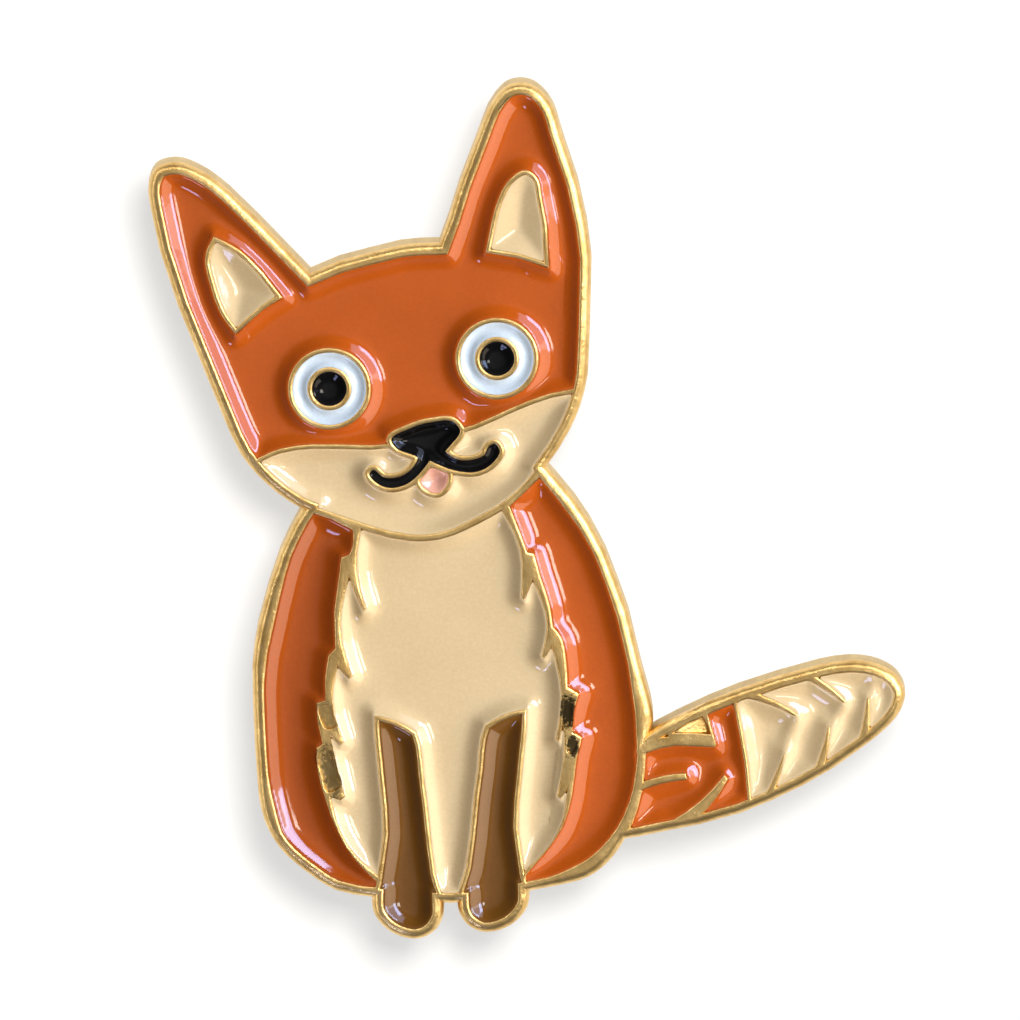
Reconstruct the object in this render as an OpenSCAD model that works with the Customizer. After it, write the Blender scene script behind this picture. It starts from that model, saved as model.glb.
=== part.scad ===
// Sitting fox brooch: a struck metal plate with raised lines, enamel in its pockets,
// two posts on its back and a rubber clutch on each post. It lies face up on the clutches.

/* [Head] */
// Width of the head across both ears
head_w = 19.4; // [15:0.1:24]
// Height of the head from the chin to the taller ear
head_h = 20.7; // [16:0.1:26]
// Diameter of the white of an eye
eye_d = 3.2; // [2.4:0.05:3.8]
// Diameter of a pupil
pupil_d = 1.48; // [0.8:0.02:1.6]

/* [Body] */
// Width of the body
body_w = 17.65; // [14:0.05:22]
// Height of the body, with the part that the head covers
body_h = 20; // [17:0.1:25]

/* [Legs] */
// Width of a foreleg at the paw
leg_w = 3.3; // [2.4:0.1:4.2]
// Height of a foreleg
leg_h = 10.3; // [7:0.1:13]
// Gap between the two paws
paw_gap = 0.45; // [0.2:0.05:1.2]
// How far the left paw reaches below the body
paw_drop = 1.65; // [0.8:0.05:2.4]
// How much higher the right paw stands
paw_lift = 0.3; // [0:0.05:0.8]

/* [Tail] */
// Length of the tail beyond the body
tail_l = 11.7; // [8:0.1:16]
// Height that the tail spans from root to tip
tail_h = 8.3; // [6:0.1:11]

/* [Metal] */
// Thickness of the plate with its raised lines
plate_t = 1.8; // [1.2:0.1:2.6]
// Depth of the pockets below the lines
pocket_depth = 0.5; // [0.3:0.05:0.8]
// Depth of the hollows without enamel
hollow_depth = 0.25; // [0.1:0.05:0.4]
// Width of the rim
rim_w = 0.53; // [0.4:0.01:0.8]
// Width of the raised lines
line_w = 0.26; // [0.18:0.01:0.4]
// Width of the line along the jaw
jaw_line_w = 0.34; // [0.2:0.01:0.6]
// Width of the line between the tail's two colours
tail_line_w = 0.2; // [0.15:0.01:0.4]
// Width of a blunt fur point at its end
fur_point_w = 0.24; // [0.1:0.02:0.4]

/* [Enamel] */
// How far the enamel lies below the lines
enamel_drop = 0.18; // [0.05:0.01:0.25]
// Clearance between enamel and metal
enamel_gap = 0.03; // [0.02:0.01:0.06]

/* [Pin backs] */
// Diameter of a post
post_d = 1.1; // [0.9:0.05:1.4]
// Length of a post's point
post_point_l = 1.2; // [0.6:0.1:1.8]
// Space for cloth between the plate and the clutches
cloth_gap = 2.1; // [1:0.1:3]
// Height of a clutch
clutch_h = 5.8; // [4.5:0.1:8]
// Diameter of a clutch's flange
flange_d = 10; // [8:0.1:12]
// Thickness of a clutch's flange
flange_t = 1.6; // [1:0.1:2.2]
// Diameter of a clutch's barrel
barrel_d = 6.2; // [4.5:0.1:7.5]
// Chamfer at the free end of the barrel
barrel_chamfer = 0.5; // [0.2:0.1:0.9]
// Rubber left below a post's point
clutch_floor = 0.6; // [0.4:0.1:1.2]
// Clearance between a post and the bore of its clutch
bore_gap = 0.04; // [0.02:0.01:0.1]

/* [Hidden] */

// Smoothness: the most that a drawn line turns at one of its points, and facets of round parts
turn_step = 7;
round_facets = 48;
// A shape is grown and shrunk by this much, so that hairlines between outlines close
hairline = 0.02;
// How far a cut runs past the face that it opens
past_face = 0.1;
// Marks a knot where the line has a corner
sharp = 1;

// Each outline is drawn on squares: columns to the right, rows upward.
// A named width and height spread over the squares, so the outline follows those sizes.
head_cols = 88;
head_rows = 92;
body_cols = 80;
body_rows = 89;
tail_cols = 53;
tail_rows = 37;
leg_cols = 15;
leg_rows = 46;

head_square = [head_w / head_cols, head_h / head_rows];
body_square = [body_w / body_cols, body_h / body_rows];
tail_square = [tail_l / tail_cols, tail_h / tail_rows];
leg_square = [leg_w / leg_cols, leg_h / leg_rows];

// Squares where the pieces of the figure meet, seen on the body and on the piece
chin_on_body = [31, 72.4];
chin_on_head = [52, 0];
root_on_body = [77, 24];
root_on_tail = [0, 11];
legs_middle_col = 39.2;

// Squares of the eyes and of the two posts
eye_left_square = [36, 30.7];
eye_right_square = [69.5, 36.7];
post_head_square = [54, 28.6];
post_body_square = [45, 37];

// Columns of the outlines: column, row, and sharp at a corner
HEAD = [
    [32.3, 53.6, sharp], [28, 58], [22, 64.2], [16, 70], [10, 74.2], [5.6, 75.6], [1.4, 74.4],
    [0, 71.4], [0.4, 66.2], [2.1, 58.2], [5.7, 47.1], [10.3, 35.8], [14.9, 24.5], [18.3, 17.3],
    [23.7, 11.2], [29.8, 6.9], [36.5, 4.5], [44.2, 1.9], [51.9, 0.2], [58, 0.5], [66.3, 3.9],
    [71.9, 7.2], [75.8, 10.6], [79, 14.4], [84, 22.1], [86.2, 27.2], [87.7, 33.6], [88.1, 42.6],
    [88.4, 56.6], [87.5, 63.6], [85.7, 71.6], [82.8, 80.2], [79.6, 88.4], [76.8, 90.8],
    [74.2, 91.4], [71.6, 90.8], [69.2, 88.6], [65.6, 80.8], [62, 71.4], [59.8, 64.4],
    [58, 59.6, sharp], [50.2, 59.1], [43.7, 57.5], [38, 56]
];
BODY = [
    [15, 87, sharp], [8.8, 77.8], [5.2, 70.6], [2.8, 63.6], [0.7, 55.8], [-0.5, 47.4],
    [-0.4, 40], [0, 31], [0.7, 21.4], [1.8, 16.6], [4.7, 11.2], [10, 6.3], [16.2, 2.4],
    [23.4, 1], [31, 0.2], [39.2, -0.2], [47, 0.6], [54.4, 2.1], [61, 3.4], [66.9, 5.1],
    [71.8, 9.2], [74.4, 13.2], [76.8, 19], [78.2, 26], [78.6, 32], [79.8, 36.5], [79.2, 41.2],
    [77.4, 47.6], [74.8, 58.4], [72.6, 64.4], [70.2, 70.6], [67, 76.6], [64, 81], [61, 84.6],
    [58, 88, sharp]
];
TAIL = [
    [-2, 19, sharp], [3.4, 22.4], [8, 24.8], [14, 27.6], [20, 30], [28, 32.6], [36, 34.8],
    [42, 35.7], [48, 34.8], [51.4, 32.8], [53.2, 29.4], [52.2, 25.4], [49.2, 21.8], [45.2, 18.5],
    [38.8, 13.9], [32.9, 10.5], [26.5, 7.4], [20.3, 4.9], [12.1, 2.6], [4, 1], [-3.8, -0.4],
    [-8, -0.4, sharp]
];
LEG = [
    [0.6, 45.4, sharp], [4.8, 44.4], [9.2, 42, sharp], [10, 39.4], [10.6, 33.4], [11.4, 27.4],
    [12.2, 19.4], [13, 13.4], [14.6, 7.6], [14.5, 4.6], [12.9, 1.7], [9.6, 0], [6.4, 0.3],
    [2.5, 2.5], [0.5, 5.4], [0.2, 8.4], [1, 11.4], [1.8, 16.8], [2.4, 21.4], [2.2, 26.4],
    [1.4, 34.4], [0.7, 41.4]
];
EAR_LEFT = [
    [13.4, 59.7, sharp], [17.2, 57.7], [21.7, 53.5], [25.2, 49.1, sharp], [22, 47.1],
    [19.5, 44.9], [17.4, 43, sharp], [15.2, 46.2], [13.5, 50.8], [12.5, 57.8]
];
EAR_RIGHT = [
    [75.4, 73.1], [73, 71.8], [70.8, 68.2], [69.4, 63.4], [68.4, 58.6, sharp], [73.9, 57.7],
    [78.8, 56.1, sharp], [78.4, 63.4], [77.4, 68.6], [76.4, 72.4]
];
NOSE = [
    [48.5, 20.4], [51.9, 22.6], [56.8, 24], [60.6, 24], [62, 22.4], [60.4, 19.8],
    [58.9, 18.2, sharp], [61.2, 16.6], [64.5, 16.4], [67.1, 17.5], [68, 19.2], [69, 19.6],
    [69.9, 18.4], [68.6, 16], [65.5, 14.3], [61.7, 14.4], [56, 16.6, sharp], [54, 13.9],
    [51.2, 11.7], [47.8, 11.1], [45, 12.4], [44.1, 13.8], [44.6, 14.4], [46.6, 13],
    [49.9, 13], [52.7, 14.9], [53.7, 17.1], [52.2, 17.8], [49.4, 19]
];
TONGUE = [
    [56, 15, sharp], [59.6, 13.7, sharp], [59.4, 11.8], [57.6, 10], [55.6, 10.5], [54.2, 12.1]
];
// The middle of the cheek line from the left rim to the right one, closed below the chin
CHEEK = [
    [19.2, 14.6, sharp], [22.4, 16.7], [26.2, 18.3], [32.4, 19.2], [44.2, 19], [52, 19.6, sharp],
    [61, 22, sharp], [65, 23.1], [72.4, 26.4], [80.4, 29.4], [85.2, 30.3], [90, 31, sharp],
    [90, -2, sharp], [19.2, -2, sharp]
];
FLANK_LEFT = [
    [11.6, 78.8, sharp], [19.6, 74.8, sharp], [19.2, 70.8], [18.8, 70, sharp],
    [17.2, 69.6, sharp], [16.6, 65], [15.8, 58.6], [16, 51.2, sharp], [14.6, 49.8, sharp],
    [14, 45.6], [14, 40.8, sharp], [12.3, 40.4, sharp], [12.6, 36], [13.5, 32.1, sharp],
    [12.4, 31.4, sharp], [12.6, 26.4], [14, 21], [16.6, 14.2], [19.4, 9.4], [24.2, 4.4, sharp],
    [24.2, 3.4, sharp], [17, 4.2], [11.4, 6.6], [7, 11], [4.4, 18], [2.6, 27], [1.8, 39],
    [2.6, 50], [4.8, 60], [8.2, 72]
];
FLANK_RIGHT = [
    [57, 85.2, sharp], [60.2, 81.4], [65, 75], [69.4, 66.4], [72.4, 57.4], [74.6, 48],
    [76, 38.6], [76.4, 31], [75.6, 23], [72.4, 15.2], [67.4, 9.6], [61, 6.2],
    [54.4, 3.8, sharp], [54.4, 5.8, sharp], [58.4, 10.4], [61.8, 15.6], [63.6, 21.8],
    [64.6, 29.6], [65.6, 33.4, sharp], [63.6, 34.6, sharp], [64, 39], [65, 42.2, sharp],
    [62.7, 43.6, sharp], [62.4, 49], [61.4, 53.6], [59.8, 55.6, sharp], [59.2, 59.8],
    [57.2, 66], [56, 70.3, sharp], [54.5, 70.7, sharp], [53.2, 74.6], [51.2, 79.6, sharp]
];
// Locks of the chest fur from the jaw down: column and row of start, belly and point
FUR_LEFT = [
    [22.2, 78, 20.5, 67, 22.4, 59.2],
    [18.9, 65, 17.2, 56, 19.6, 45.6],
    [16.6, 47.3, 15.6, 41, 17.8, 32.4],
    [15.2, 33.3, 16.4, 27.7, 18, 21.4]
];
FUR_RIGHT = [
    [48.6, 80, 53, 71, 53.2, 61.4],
    [55.6, 64.6, 58.4, 56, 57.2, 49.6],
    [59.4, 51.3, 61.3, 41.6, 60.2, 33],
    [61.7, 35.5, 61.8, 29, 60.4, 21.6]
];
// The chest below the last fur point: down the left side, along the bottom, up the right side
CHEST_BOTTOM = [
    [15.2, 21.3, sharp], [16.4, 16.4], [18.6, 11.6], [24.6, 5.6, sharp], [27, 1.6, sharp],
    [51, 1.6, sharp], [54.4, 7, sharp], [58, 10.4], [61.4, 16], [62.5, 22.6, sharp]
];
// The line between the tail's two colours, closed round the root
TAIL_DIVIDE = [
    [18.2, 32, sharp], [20.2, 22], [21.4, 15.2], [22.4, 4, sharp], [-10, -6, sharp],
    [-10, 40, sharp]
];
// Fur strokes on the tail: column and row of foot and point, width of both, and bow
TAIL_STROKES = [
    [0, 10.4, 9.6, 12.6, 1.8, 1.7, 0.4],
    [7.2, 2.4, 17.5, 12.6, 3.2, 1.4, -0.9],
    [0.6, 18.4, 15.2, 18.7, 3, 1, 1.1],
    [6, 21.7, 15.3, 18.6, 6.4, 0.6, 0],
    [10.4, 25.4, 15.3, 18.6, 6.5, 0.6, 0],
    [21.6, 29, 31.8, 24.6, 1.8, 0.9, 0.5],
    [33.4, 32.8, 41.3, 27.3, 1.8, 0.9, 0.4],
    [25, 6.6, 29.1, 17.3, 1.8, 0.6, -0.3],
    [35.7, 13, 38, 22.6, 2.1, 0.6, -0.3],
    [44.8, 19, 45.8, 28.4, 2.3, 0.6, -0.2]
];
// Hollows in the wide metal that stay without enamel: one on the tail, four beside the chest
TAIL_HOLLOW = [
    [7.2, 21.5, sharp], [10, 23.2], [12.8, 24.4, sharp], [13.7, 22.8], [14.2, 21.1, sharp],
    [11.6, 21.4]
];
CHEST_HOLLOWS = [
    [[13, 39.6], [15, 39.8], [15.7, 37.6], [16.2, 35.5], [14.3, 35.1], [13.3, 36.8]],
    [[13.1, 30.6], [14.9, 30.8], [15.8, 28], [17, 23.3], [14.6, 22.4], [13.5, 25.4]],
    [[62.1, 41.3], [63.8, 41], [63.4, 38.8], [63.1, 35.6], [62.5, 35.6], [61.7, 37.2], [62, 39.4]],
    [[62.8, 33.1], [64.5, 32.8], [64.2, 30.9], [63.5, 30], [62.7, 30.4], [62.6, 31.8]]
];
stroke_steps = 4;

// A smooth closed line through knots in millimetres, with corners where a knot is sharp
function flat(p) = [p[0], p[1]];
function around(rows, i) = rows[(i + len(rows)) % len(rows)];
function chord(rows, i) = flat(around(rows, i + 1)) - flat(around(rows, i));
function along(rows, i) = chord(rows, i) / norm(chord(rows, i));
function is_sharp(rows, i) = around(rows, i)[2] == sharp;
function slope(rows, i) =
    let (before = norm(chord(rows, i - 1)), after = norm(chord(rows, i)))
    (along(rows, i - 1) * after + along(rows, i) * before) / (before + after);
function leaving(rows, i) =
    !is_sharp(rows, i) ? slope(rows, i)
    : is_sharp(rows, i + 1) ? along(rows, i)
    : 1.5 * along(rows, i) - 0.5 * slope(rows, i + 1);
function arriving(rows, i) =
    !is_sharp(rows, i + 1) ? slope(rows, i + 1)
    : is_sharp(rows, i) ? along(rows, i)
    : 1.5 * along(rows, i) - 0.5 * slope(rows, i);
function bend(a, b) = acos(min(1, a * b / (norm(a) * norm(b))));
function step_count(rows, i) =
    let (turned = bend(leaving(rows, i), along(rows, i)) + bend(along(rows, i), arriving(rows, i)))
    max(1, ceil(turned / turn_step));
function between(rows, i, t) =
    let (reach = norm(chord(rows, i)), a = flat(around(rows, i)), b = flat(around(rows, i + 1)))
    (2 * t ^ 3 - 3 * t ^ 2 + 1) * a + (3 * t ^ 2 - 2 * t ^ 3) * b
    + reach * (t ^ 3 - 2 * t ^ 2 + t) * leaving(rows, i)
    + reach * (t ^ 3 - t ^ 2) * arriving(rows, i);
function smooth(rows) = [
    for (i = [0 : len(rows) - 1])
        let (steps = step_count(rows, i))
            for (k = [0 : steps - 1]) between(rows, i, k / steps)
];

// From squares to millimetres, about an origin
function at(origin, square, p) = [origin[0] + p[0] * square[0], origin[1] + p[1] * square[1]];
function drawn(origin, square, rows) =
    smooth([for (p = rows) [each at(origin, square, p), p[2]]]);

head_origin = at([0, 0], body_square, chin_on_body) - at([0, 0], head_square, chin_on_head);
tail_origin = at([0, 0], body_square, root_on_body) - at([0, 0], tail_square, root_on_tail);
legs_middle = legs_middle_col * body_square[0];

head_line = drawn(head_origin, head_square, HEAD);
body_line = drawn([0, 0], body_square, BODY);
tail_line = drawn(tail_origin, tail_square, TAIL);
leg_left_line = drawn([legs_middle - paw_gap / 2 - leg_w, -paw_drop], leg_square, LEG);
leg_right_line = drawn(
    [legs_middle + paw_gap / 2 + leg_w, paw_lift - paw_drop], [-leg_square[0], leg_square[1]], LEG);

eye_left = at(head_origin, head_square, eye_left_square);
eye_right = at(head_origin, head_square, eye_right_square);
post_head = at(head_origin, head_square, post_head_square);
post_body = at([0, 0], body_square, post_body_square);

// One side of the chest: the locks' knots from the jaw down, each point cut blunt aslant
fur_point_step = fur_point_w / sqrt(2);
function fur_knots(locks, side) = [
    for (lock = locks)
        let (start = at([0, 0], body_square, [lock[0], lock[1]]),
            belly = at([0, 0], body_square, [lock[2], lock[3]]),
            point = at([0, 0], body_square, [lock[4], lock[5]]))
            each [[each start, sharp], belly, [each point, sharp],
                [point[0] + side * fur_point_step, point[1] - fur_point_step, sharp]]
];
function reversed(rows) = [for (i = [len(rows) - 1 : -1 : 0]) rows[i]];
chest_line = smooth(concat(
    fur_knots(FUR_LEFT, -1),
    [for (p = CHEST_BOTTOM) [each at([0, 0], body_square, p), p[2]]],
    reversed(fur_knots(FUR_RIGHT, 1))));

// A fur stroke: a bowed centre line whose width runs from the foot to the point
function stroke_side(foot, point, foot_w, point_w, bow, side) =
    let (axis = point - foot, across = [-axis[1], axis[0]] / norm(axis))
    [for (k = [0 : stroke_steps])
        let (t = k / stroke_steps, half_w = (foot_w * (1 - t) + point_w * t) / 2)
            foot + axis * t + across * (4 * bow * t * (1 - t) + side * half_w)];
function stroke_line(row) =
    let (foot = at(tail_origin, tail_square, [row[0], row[1]]),
        point = at(tail_origin, tail_square, [row[2], row[3]]),
        foot_w = row[4] * tail_square[1], point_w = row[5] * tail_square[1],
        bow = row[6] * tail_square[1])
    concat(stroke_side(foot, point, foot_w, point_w, bow, 1),
        reversed(stroke_side(foot, point, foot_w, point_w, bow, -1)));

// The figure's box is centred on the origin, and the clutches stand on the ground plane
all_points = concat(head_line, body_line, tail_line, leg_left_line, leg_right_line);
function middle(points, axis) =
    (min([for (p = points) p[axis]]) + max([for (p = points) p[axis]])) / 2;
centre = [middle(all_points, 0), middle(all_points, 1)];

back_z = clutch_h + cloth_gap;
face_z = back_z + plate_t;
pocket_z = face_z - pocket_depth;
enamel_t = pocket_depth - enamel_drop;
post_l = cloth_gap + clutch_h - clutch_floor;
iris_d = pupil_d + 2 * line_w;

// Flat regions of the figure
module tidy() {
    offset(delta = -hairline) offset(delta = hairline) children();
}
module clean_cell() {
    offset(delta = hairline) offset(delta = -hairline) children();
}
module legs() {
    polygon(leg_left_line);
    polygon(leg_right_line);
}
module silhouette() {
    tidy() {
        polygon(head_line);
        polygon(body_line);
        polygon(tail_line);
        legs();
    }
}
module inside_rim() {
    offset(delta = -rim_w) silhouette();
}
module head_field() {
    intersection() {
        inside_rim();
        offset(delta = -jaw_line_w) polygon(head_line);
    }
}
module body_field() {
    difference() {
        intersection() {
            inside_rim();
            polygon(body_line);
        }
        polygon(head_line);
        legs();
    }
}
module tail_field() {
    difference() {
        intersection() {
            inside_rim();
            polygon(tail_line);
        }
        polygon(body_line);
        for (row = TAIL_STROKES) polygon(stroke_line(row));
    }
}
module below_cheeks() {
    polygon(drawn(head_origin, head_square, CHEEK));
}
module tail_root_side() {
    polygon(drawn(tail_origin, tail_square, TAIL_DIVIDE));
}
module nose_shape() {
    polygon(drawn(head_origin, head_square, NOSE));
}
module tongue_shape() {
    polygon(drawn(head_origin, head_square, TONGUE));
}
module ear_shape(rows) {
    polygon(drawn(head_origin, head_square, rows));
}
module eye_sockets() {
    for (eye = [eye_left, eye_right])
        translate(eye) circle(d = eye_d + 2 * line_w, $fn = round_facets);
}

// The pockets, each as a flat cell
module head_cell() {
    clean_cell() difference() {
        head_field();
        offset(delta = line_w / 2) below_cheeks();
        offset(delta = line_w) {
            nose_shape();
            ear_shape(EAR_LEFT);
            ear_shape(EAR_RIGHT);
        }
        eye_sockets();
    }
}
module muzzle_cell() {
    clean_cell() difference() {
        intersection() {
            head_field();
            offset(delta = -line_w / 2) below_cheeks();
        }
        offset(delta = line_w) {
            nose_shape();
            tongue_shape();
        }
        eye_sockets();
    }
}
module ear_cell(rows) {
    clean_cell() intersection() {
        head_field();
        ear_shape(rows);
    }
}
module eye_cell(eye, gap) {
    translate(eye) difference() {
        circle(d = eye_d - 2 * gap, $fn = round_facets);
        circle(d = iris_d + 2 * gap, $fn = round_facets);
    }
}
module pupil_cell(eye, gap) {
    translate(eye) circle(d = pupil_d - 2 * gap, $fn = round_facets);
}
module nose_cell() {
    clean_cell() difference() {
        nose_shape();
        eye_sockets();
    }
}
module tongue_cell() {
    clean_cell() difference() {
        tongue_shape();
        offset(delta = line_w) nose_shape();
    }
}
module flank_cell(rows) {
    clean_cell() intersection() {
        body_field();
        polygon(drawn([0, 0], body_square, rows));
    }
}
module chest_cell() {
    clean_cell() intersection() {
        body_field();
        polygon(chest_line);
    }
}
module leg_cell(line) {
    clean_cell() intersection() {
        inside_rim();
        offset(delta = -line_w) polygon(line);
    }
}
module tail_root_cell() {
    clean_cell() intersection() {
        tail_field();
        offset(delta = -tail_line_w / 2) tail_root_side();
    }
}
module tail_tip_cell() {
    clean_cell() difference() {
        tail_field();
        offset(delta = tail_line_w / 2) tail_root_side();
    }
}

// Solids from the cells: a pocket opens through the lines, enamel stays below them
module pocket() {
    translate([0, 0, pocket_z]) linear_extrude(pocket_depth + past_face) children();
}
module hollows() {
    translate([0, 0, face_z - hollow_depth]) linear_extrude(hollow_depth + past_face) {
        polygon(drawn(tail_origin, tail_square, TAIL_HOLLOW));
        for (rows = CHEST_HOLLOWS) polygon(drawn([0, 0], body_square, rows));
    }
}
module enamel() {
    translate([-centre[0], -centre[1], pocket_z]) linear_extrude(enamel_t) children();
}
module loose_enamel() {
    enamel() offset(delta = -enamel_gap) children();
}

module post(place) {
    root = (plate_t - pocket_depth) / 2;
    translate([place[0], place[1], back_z]) rotate_extrude($fn = round_facets)
        polygon([[0, root], [post_d / 2, root], [post_d / 2, post_point_l - post_l], [0, -post_l]]);
}
module clutch(place) {
    bore_r = post_d / 2 + bore_gap;
    bore_end = clutch_floor - bore_gap;
    translate([place[0] - centre[0], place[1] - centre[1], 0]) rotate_extrude($fn = round_facets)
        polygon([[0, 0], [barrel_d / 2 - barrel_chamfer, 0], [barrel_d / 2, barrel_chamfer],
            [barrel_d / 2, clutch_h - flange_t], [flange_d / 2, clutch_h - flange_t],
            [flange_d / 2, clutch_h], [bore_r, clutch_h], [bore_r, clutch_floor + post_point_l],
            [0, bore_end]]);
}

module plate() {
    color("goldenrod") translate([-centre[0], -centre[1], 0]) {
        difference() {
            translate([0, 0, back_z]) linear_extrude(plate_t) silhouette();
            pocket() head_cell();
            pocket() muzzle_cell();
            pocket() ear_cell(EAR_LEFT);
            pocket() ear_cell(EAR_RIGHT);
            for (eye = [eye_left, eye_right]) {
                pocket() eye_cell(eye, 0);
                pocket() pupil_cell(eye, 0);
            }
            pocket() nose_cell();
            pocket() tongue_cell();
            pocket() flank_cell(FLANK_LEFT);
            pocket() flank_cell(FLANK_RIGHT);
            pocket() chest_cell();
            pocket() leg_cell(leg_left_line);
            pocket() leg_cell(leg_right_line);
            pocket() tail_root_cell();
            pocket() tail_tip_cell();
            hollows();
        }
        post(post_head);
        post(post_body);
    }
}
module enamel_head() {
    color("chocolate") loose_enamel() head_cell();
}
module enamel_muzzle() {
    color("wheat") loose_enamel() muzzle_cell();
}
module ear_left() {
    color("wheat") loose_enamel() ear_cell(EAR_LEFT);
}
module ear_right() {
    color("wheat") loose_enamel() ear_cell(EAR_RIGHT);
}
module eye_white_left() {
    color("white") enamel() eye_cell(eye_left, enamel_gap);
}
module eye_white_right() {
    color("white") enamel() eye_cell(eye_right, enamel_gap);
}
module pupil_left() {
    color("black") enamel() pupil_cell(eye_left, enamel_gap);
}
module pupil_right() {
    color("black") enamel() pupil_cell(eye_right, enamel_gap);
}
module nose() {
    color("black") loose_enamel() nose_cell();
}
module tongue() {
    color("pink") loose_enamel() tongue_cell();
}
module flank_left() {
    color("chocolate") loose_enamel() flank_cell(FLANK_LEFT);
}
module flank_right() {
    color("chocolate") loose_enamel() flank_cell(FLANK_RIGHT);
}
module chest() {
    color("wheat") loose_enamel() chest_cell();
}
module leg_left() {
    color("saddlebrown") loose_enamel() leg_cell(leg_left_line);
}
module leg_right() {
    color("saddlebrown") loose_enamel() leg_cell(leg_right_line);
}
module tail_root() {
    color("chocolate") loose_enamel() tail_root_cell();
}
module tail_tip() {
    color("wheat") loose_enamel() tail_tip_cell();
}
module clutch_head() {
    color("dimgray") clutch(post_head);
}
module clutch_body() {
    color("dimgray") clutch(post_body);
}

plate();
enamel_head();
enamel_muzzle();
ear_left();
ear_right();
eye_white_left();
eye_white_right();
pupil_left();
pupil_right();
nose();
tongue();
flank_left();
flank_right();
chest();
leg_left();
leg_right();
tail_root();
tail_tip();
clutch_head();
clutch_body();
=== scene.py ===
import math
import bpy
import bmesh
import numpy as np
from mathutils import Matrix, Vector
from mathutils.bvhtree import BVHTree
from mathutils.geometry import delaunay_2d_cdt


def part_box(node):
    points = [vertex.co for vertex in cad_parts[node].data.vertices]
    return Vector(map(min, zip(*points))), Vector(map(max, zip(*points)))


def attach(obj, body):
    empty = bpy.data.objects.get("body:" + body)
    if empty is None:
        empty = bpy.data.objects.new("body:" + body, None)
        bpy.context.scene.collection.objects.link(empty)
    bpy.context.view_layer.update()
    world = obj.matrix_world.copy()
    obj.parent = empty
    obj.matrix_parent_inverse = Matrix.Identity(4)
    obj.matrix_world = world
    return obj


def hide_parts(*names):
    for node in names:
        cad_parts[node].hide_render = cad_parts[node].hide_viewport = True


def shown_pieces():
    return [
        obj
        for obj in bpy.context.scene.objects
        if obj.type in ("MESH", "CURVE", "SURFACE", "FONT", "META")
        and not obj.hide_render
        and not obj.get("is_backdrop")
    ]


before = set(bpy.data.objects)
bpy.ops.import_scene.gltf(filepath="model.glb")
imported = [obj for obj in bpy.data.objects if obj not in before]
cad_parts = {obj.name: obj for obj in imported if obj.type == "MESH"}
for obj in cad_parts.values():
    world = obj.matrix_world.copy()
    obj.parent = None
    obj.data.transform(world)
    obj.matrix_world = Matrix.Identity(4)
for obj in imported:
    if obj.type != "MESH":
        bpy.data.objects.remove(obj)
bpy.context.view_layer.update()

# A soft enamel fox brooch lying face up on its two rubber clutches.
# Everything is in metres, in the part's own frame: +Z out of the face, +Y up the figure.
mm = 0.001
clothGap = 2.1 * mm          # between the clutches and the back of the plate
levels = {
    "face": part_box("plate")[1].z,
    "pocket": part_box("enamel_head")[0].z,
    "back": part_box("clutch_head")[1].z + clothGap,
}
upright, lying = 0.2, 0.9    # a face's normal points less, or more, than this along Z
slack = 0.02 * mm            # heights this close are the same level
seam = 0.001 * mm            # corners this close are one


def onlySelect(piece):
    bpy.ops.object.select_all(action="DESELECT")
    piece.select_set(True)
    bpy.context.view_layer.objects.active = piece


def mergedCopy(node, name):
    # a copy of a node's mesh with its loose triangles joined into whole faces
    piece = bpy.data.objects.new(name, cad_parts[node].data.copy())
    piece.data.name = name
    piece.data.materials.clear()
    bpy.context.scene.collection.objects.link(piece)
    onlySelect(piece)
    bpy.ops.mesh.customdata_custom_splitnormals_clear()
    bpy.ops.object.mode_set(mode="EDIT")
    bpy.ops.mesh.select_all(action="SELECT")
    bpy.ops.mesh.remove_doubles(threshold=0.002 * mm)
    bpy.ops.mesh.dissolve_limited(angle_limit=math.radians(0.5))
    bpy.ops.object.mode_set(mode="OBJECT")
    return piece


def applyModifier(piece, kind, name, **settings):
    modifier = piece.modifiers.new(name, kind)
    for key, value in settings.items():
        setattr(modifier, key, value)
    onlySelect(piece)
    bpy.ops.object.modifier_apply(modifier=name)


def finishPiece(piece, material, slot, *nodes):
    piece.data.materials.clear()
    piece.data.materials.append(material)
    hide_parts(*nodes)
    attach(piece, "root")


# Node helpers

def addNode(tree, kind, **values):
    node = tree.nodes.new(kind)
    for key, value in values.items():
        if hasattr(node, key):
            setattr(node, key, value)
        else:
            node.inputs[key.replace("_", " ")].default_value = value
    return node


def newGroup(name, inputs, outputs):
    group = bpy.data.node_groups.new(name, "ShaderNodeTree")
    for label, kind, value in inputs:
        socket = group.interface.new_socket(name=label, in_out="INPUT", socket_type="NodeSocket" + kind)
        socket.default_value = value
    for label, kind in outputs:
        group.interface.new_socket(name=label, in_out="OUTPUT", socket_type="NodeSocket" + kind)
    return group, group.nodes.new("NodeGroupInput"), group.nodes.new("NodeGroupOutput")


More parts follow.
